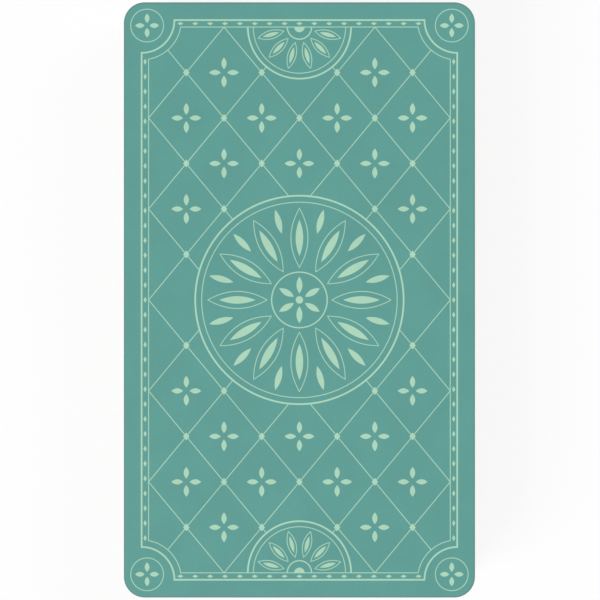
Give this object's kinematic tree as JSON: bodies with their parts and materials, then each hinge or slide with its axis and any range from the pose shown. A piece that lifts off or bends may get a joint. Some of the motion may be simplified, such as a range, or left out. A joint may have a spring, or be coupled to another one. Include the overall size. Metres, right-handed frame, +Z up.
{
  "type": "oracle card deck",
  "caption": "Squared stack of tall, thin printed cards with round corners, lying backs up, that fans about a point near its foot and deals its top card to either side.",
  "frame": {"origin": "on the table, under the middle of the squared stack", "axes": "+Z up from the table through the stack, +Y to the head of the cards, +X to the right of their backs"},
  "size_m": [0.071, 0.1202, 0.0158],
  "materials": {
    "printed_card": "satin"
  },
  "bodies": {
    "bottom_card": {"bottom_card": "printed_card"},
    "card_02": {"card_02": "printed_card"},
    "card_03": {"card_03": "printed_card"},
    "card_04": {"card_04": "printed_card"},
    "card_05": {"card_05": "printed_card"},
    "card_06": {"card_06": "printed_card"},
    "card_07": {"card_07": "printed_card"},
    "card_08": {"card_08": "printed_card"},
    "card_09": {"card_09": "printed_card"},
    "card_10": {"card_10": "printed_card"},
    "card_11": {"card_11": "printed_card"},
    "card_12": {"card_12": "printed_card"},
    "card_13": {"card_13": "printed_card"},
    "card_14": {"card_14": "printed_card"},
    "card_15": {"card_15": "printed_card"},
    "card_16": {"card_16": "printed_card"},
    "card_17": {"card_17": "printed_card"},
    "card_18": {"card_18": "printed_card"},
    "card_19": {"card_19": "printed_card"},
    "card_20": {"card_20": "printed_card"},
    "card_21": {"card_21": "printed_card"},
    "card_22": {"card_22": "printed_card"},
    "card_23": {"card_23": "printed_card"},
    "card_24": {"card_24": "printed_card"},
    "card_25": {"card_25": "printed_card"},
    "card_26": {"card_26": "printed_card"},
    "card_27": {"card_27": "printed_card"},
    "card_28": {"card_28": "printed_card"},
    "card_29": {"card_29": "printed_card"},
    "card_30": {"card_30": "printed_card"},
    "card_31": {"card_31": "printed_card"},
    "card_32": {"card_32": "printed_card"},
    "card_33": {"card_33": "printed_card"},
    "card_34": {"card_34": "printed_card"},
    "card_35": {"card_35": "printed_card"},
    "card_36": {"card_36": "printed_card"},
    "card_37": {"card_37": "printed_card"},
    "card_38": {"card_38": "printed_card"},
    "card_39": {"card_39": "printed_card"},
    "card_40": {"card_40": "printed_card"},
    "card_41": {"card_41": "printed_card"},
    "card_42": {"card_42": "printed_card"},
    "card_43": {"card_43": "printed_card"},
    "top_card": {"top_card": "printed_card"}
  },
  "joints": [
    {"name": "fan_02", "type": "hinge", "parent": "bottom_card", "child": "card_02", "pos_m": [0, -0.048, 0], "axis": [0, 0, 1], "range_deg": [-3.01, 3.01]},
    {"name": "fan_03", "type": "hinge", "parent": "bottom_card", "child": "card_03", "pos_m": [0, -0.048, 0], "axis": [0, 0, 1], "range_deg": [-6.01, 6.01]},
    {"name": "fan_04", "type": "hinge", "parent": "bottom_card", "child": "card_04", "pos_m": [0, -0.048, 0], "axis": [0, 0, 1], "range_deg": [-9.01, 9.01]},
    {"name": "fan_05", "type": "hinge", "parent": "bottom_card", "child": "card_05", "pos_m": [0, -0.048, 0], "axis": [0, 0, 1], "range_deg": [-12.01, 12.01]},
    {"name": "fan_06", "type": "hinge", "parent": "bottom_card", "child": "card_06", "pos_m": [0, -0.048, 0], "axis": [0, 0, 1], "range_deg": [-15.01, 15.01]},
    {"name": "fan_07", "type": "hinge", "parent": "bottom_card", "child": "card_07", "pos_m": [0, -0.048, 0], "axis": [0, 0, 1], "range_deg": [-18.01, 18.01]},
    {"name": "fan_08", "type": "hinge", "parent": "bottom_card", "child": "card_08", "pos_m": [0, -0.048, 0], "axis": [0, 0, 1], "range_deg": [-21.01, 21.01]},
    {"name": "fan_09", "type": "hinge", "parent": "bottom_card", "child": "card_09", "pos_m": [0, -0.048, 0], "axis": [0, 0, 1], "range_deg": [-24.01, 24.01]},
    {"name": "fan_10", "type": "hinge", "parent": "bottom_card", "child": "card_10", "pos_m": [0, -0.048, 0], "axis": [0, 0, 1], "range_deg": [-27.01, 27.01]},
    {"name": "fan_11", "type": "hinge", "parent": "bottom_card", "child": "card_11", "pos_m": [0, -0.048, 0], "axis": [0, 0, 1], "range_deg": [-30.01, 30.01]},
    {"name": "fan_12", "type": "hinge", "parent": "bottom_card", "child": "card_12", "pos_m": [0, -0.048, 0], "axis": [0, 0, 1], "range_deg": [-33.01, 33.01]},
    {"name": "fan_13", "type": "hinge", "parent": "bottom_card", "child": "card_13", "pos_m": [0, -0.048, 0], "axis": [0, 0, 1], "range_deg": [-36.01, 36.01]},
    {"name": "fan_14", "type": "hinge", "parent": "bottom_card", "child": "card_14", "pos_m": [0, -0.048, 0], "axis": [0, 0, 1], "range_deg": [-39.01, 39.01]},
    {"name": "fan_15", "type": "hinge", "parent": "bottom_card", "child": "card_15", "pos_m": [0, -0.048, 0], "axis": [0, 0, 1], "range_deg": [-42.01, 42.01]},
    {"name": "fan_16", "type": "hinge", "parent": "bottom_card", "child": "card_16", "pos_m": [0, -0.048, 0], "axis": [0, 0, 1], "range_deg": [-45.01, 45.01]},
    {"name": "fan_17", "type": "hinge", "parent": "bottom_card", "child": "card_17", "pos_m": [0, -0.048, 0], "axis": [0, 0, 1], "range_deg": [-48.01, 48.01]},
    {"name": "fan_18", "type": "hinge", "parent": "bottom_card", "child": "card_18", "pos_m": [0, -0.048, 0], "axis": [0, 0, 1], "range_deg": [-51.01, 51.01]},
    {"name": "fan_19", "type": "hinge", "parent": "bottom_card", "child": "card_19", "pos_m": [0, -0.048, 0], "axis": [0, 0, 1], "range_deg": [-54.01, 54.01]},
    {"name": "fan_20", "type": "hinge", "parent": "bottom_card", "child": "card_20", "pos_m": [0, -0.048, 0], "axis": [0, 0, 1], "range_deg": [-57.01, 57.01]},
    {"name": "fan_21", "type": "hinge", "parent": "bottom_card", "child": "card_21", "pos_m": [0, -0.048, 0], "axis": [0, 0, 1], "range_deg": [-60.01, 60.01]},
    {"name": "fan_22", "type": "hinge", "parent": "bottom_card", "child": "card_22", "pos_m": [0, -0.048, 0], "axis": [0, 0, 1], "range_deg": [-63.01, 63.01]},
    {"name": "fan_23", "type": "hinge", "parent": "bottom_card", "child": "card_23", "pos_m": [0, -0.048, 0], "axis": [0, 0, 1], "range_deg": [-66.01, 66.01]},
    {"name": "fan_24", "type": "hinge", "parent": "bottom_card", "child": "card_24", "pos_m": [0, -0.048, 0], "axis": [0, 0, 1], "range_deg": [-69.01, 69.01]},
    {"name": "fan_25", "type": "hinge", "parent": "bottom_card", "child": "card_25", "pos_m": [0, -0.048, 0], "axis": [0, 0, 1], "range_deg": [-72.01, 72.01]},
    {"name": "fan_26", "type": "hinge", "parent": "bottom_card", "child": "card_26", "pos_m": [0, -0.048, 0], "axis": [0, 0, 1], "range_deg": [-75.01, 75.01]},
    {"name": "fan_27", "type": "hinge", "parent": "bottom_card", "child": "card_27", "pos_m": [0, -0.048, 0], "axis": [0, 0, 1], "range_deg": [-78.01, 78.01]},
    {"name": "fan_28", "type": "hinge", "parent": "bottom_card", "child": "card_28", "pos_m": [0, -0.048, 0], "axis": [0, 0, 1], "range_deg": [-81.01, 81.01]},
    {"name": "fan_29", "type": "hinge", "parent": "bottom_card", "child": "card_29", "pos_m": [0, -0.048, 0], "axis": [0, 0, 1], "range_deg": [-84.01, 84.01]},
    {"name": "fan_30", "type": "hinge", "parent": "bottom_card", "child": "card_30", "pos_m": [0, -0.048, 0], "axis": [0, 0, 1], "range_deg": [-87.01, 87.01]},
    {"name": "fan_31", "type": "hinge", "parent": "bottom_card", "child": "card_31", "pos_m": [0, -0.048, 0], "axis": [0, 0, 1], "range_deg": [-90.01, 90.01]},
    {"name": "fan_32", "type": "hinge", "parent": "bottom_card", "child": "card_32", "pos_m": [0, -0.048, 0], "axis": [0, 0, 1], "range_deg": [-93.01, 93.01]},
    {"name": "fan_33", "type": "hinge", "parent": "bottom_card", "child": "card_33", "pos_m": [0, -0.048, 0], "axis": [0, 0, 1], "range_deg": [-96.01, 96.01]},
    {"name": "fan_34", "type": "hinge", "parent": "bottom_card", "child": "card_34", "pos_m": [0, -0.048, 0], "axis": [0, 0, 1], "range_deg": [-99.01, 99.01]},
    {"name": "fan_35", "type": "hinge", "parent": "bottom_card", "child": "card_35", "pos_m": [0, -0.048, 0], "axis": [0, 0, 1], "range_deg": [-102.01, 102.01]},
    {"name": "fan_36", "type": "hinge", "parent": "bottom_card", "child": "card_36", "pos_m": [0, -0.048, 0], "axis": [0, 0, 1], "range_deg": [-105.01, 105.01]},
    {"name": "fan_37", "type": "hinge", "parent": "bottom_card", "child": "card_37", "pos_m": [0, -0.048, 0], "axis": [0, 0, 1], "range_deg": [-108.01, 108.01]},
    {"name": "fan_38", "type": "hinge", "parent": "bottom_card", "child": "card_38", "pos_m": [0, -0.048, 0], "axis": [0, 0, 1], "range_deg": [-111.01, 111.01]},
    {"name": "fan_39", "type": "hinge", "parent": "bottom_card", "child": "card_39", "pos_m": [0, -0.048, 0], "axis": [0, 0, 1], "range_deg": [-114.01, 114.01]},
    {"name": "fan_40", "type": "hinge", "parent": "bottom_card", "child": "card_40", "pos_m": [0, -0.048, 0], "axis": [0, 0, 1], "range_deg": [-117.01, 117.01]},
    {"name": "fan_41", "type": "hinge", "parent": "bottom_card", "child": "card_41", "pos_m": [0, -0.048, 0], "axis": [0, 0, 1], "range_deg": [-120.01, 120.01]},
    {"name": "fan_42", "type": "hinge", "parent": "bottom_card", "child": "card_42", "pos_m": [0, -0.048, 0], "axis": [0, 0, 1], "range_deg": [-123.01, 123.01]},
    {"name": "fan", "type": "hinge", "parent": "bottom_card", "child": "card_43", "pos_m": [0, -0.048, 0], "axis": [0, 0, 1], "range_deg": [-126, 126]},
    {"name": "deal", "type": "slide", "parent": "card_43", "child": "top_card", "axis": [1, 0, 0], "range_m": [-0.076, 0.076]}
  ],
  "couplings": [
    {"joint": "fan_02", "follows": "fan", "ratio": 0.02381},
    {"joint": "fan_03", "follows": "fan", "ratio": 0.047619},
    {"joint": "fan_04", "follows": "fan", "ratio": 0.071429},
    {"joint": "fan_05", "follows": "fan", "ratio": 0.095238},
    {"joint": "fan_06", "follows": "fan", "ratio": 0.11905},
    {"joint": "fan_07", "follows": "fan", "ratio": 0.14286},
    {"joint": "fan_08", "follows": "fan", "ratio": 0.16667},
    {"joint": "fan_09", "follows": "fan", "ratio": 0.19048},
    {"joint": "fan_10", "follows": "fan", "ratio": 0.21429},
    {"joint": "fan_11", "follows": "fan", "ratio": 0.2381},
    {"joint": "fan_12", "follows": "fan", "ratio": 0.2619},
    {"joint": "fan_13", "follows": "fan", "ratio": 0.28571},
    {"joint": "fan_14", "follows": "fan", "ratio": 0.30952},
    {"joint": "fan_15", "follows": "fan", "ratio": 0.33333},
    {"joint": "fan_16", "follows": "fan", "ratio": 0.35714},
    {"joint": "fan_17", "follows": "fan", "ratio": 0.38095},
    {"joint": "fan_18", "follows": "fan", "ratio": 0.40476},
    {"joint": "fan_19", "follows": "fan", "ratio": 0.42857},
    {"joint": "fan_20", "follows": "fan", "ratio": 0.45238},
    {"joint": "fan_21", "follows": "fan", "ratio": 0.47619},
    {"joint": "fan_22", "follows": "fan", "ratio": 0.5},
    {"joint": "fan_23", "follows": "fan", "ratio": 0.52381},
    {"joint": "fan_24", "follows": "fan", "ratio": 0.54762},
    {"joint": "fan_25", "follows": "fan", "ratio": 0.57143},
    {"joint": "fan_26", "follows": "fan", "ratio": 0.59524},
    {"joint": "fan_27", "follows": "fan", "ratio": 0.61905},
    {"joint": "fan_28", "follows": "fan", "ratio": 0.64286},
    {"joint": "fan_29", "follows": "fan", "ratio": 0.66667},
    {"joint": "fan_30", "follows": "fan", "ratio": 0.69048},
    {"joint": "fan_31", "follows": "fan", "ratio": 0.71429},
    {"joint": "fan_32", "follows": "fan", "ratio": 0.7381},
    {"joint": "fan_33", "follows": "fan", "ratio": 0.7619},
    {"joint": "fan_34", "follows": "fan", "ratio": 0.78571},
    {"joint": "fan_35", "follows": "fan", "ratio": 0.80952},
    {"joint": "fan_36", "follows": "fan", "ratio": 0.83333},
    {"joint": "fan_37", "follows": "fan", "ratio": 0.85714},
    {"joint": "fan_38", "follows": "fan", "ratio": 0.88095},
    {"joint": "fan_39", "follows": "fan", "ratio": 0.90476},
    {"joint": "fan_40", "follows": "fan", "ratio": 0.92857},
    {"joint": "fan_41", "follows": "fan", "ratio": 0.95238},
    {"joint": "fan_42", "follows": "fan", "ratio": 0.97619}
  ]
}
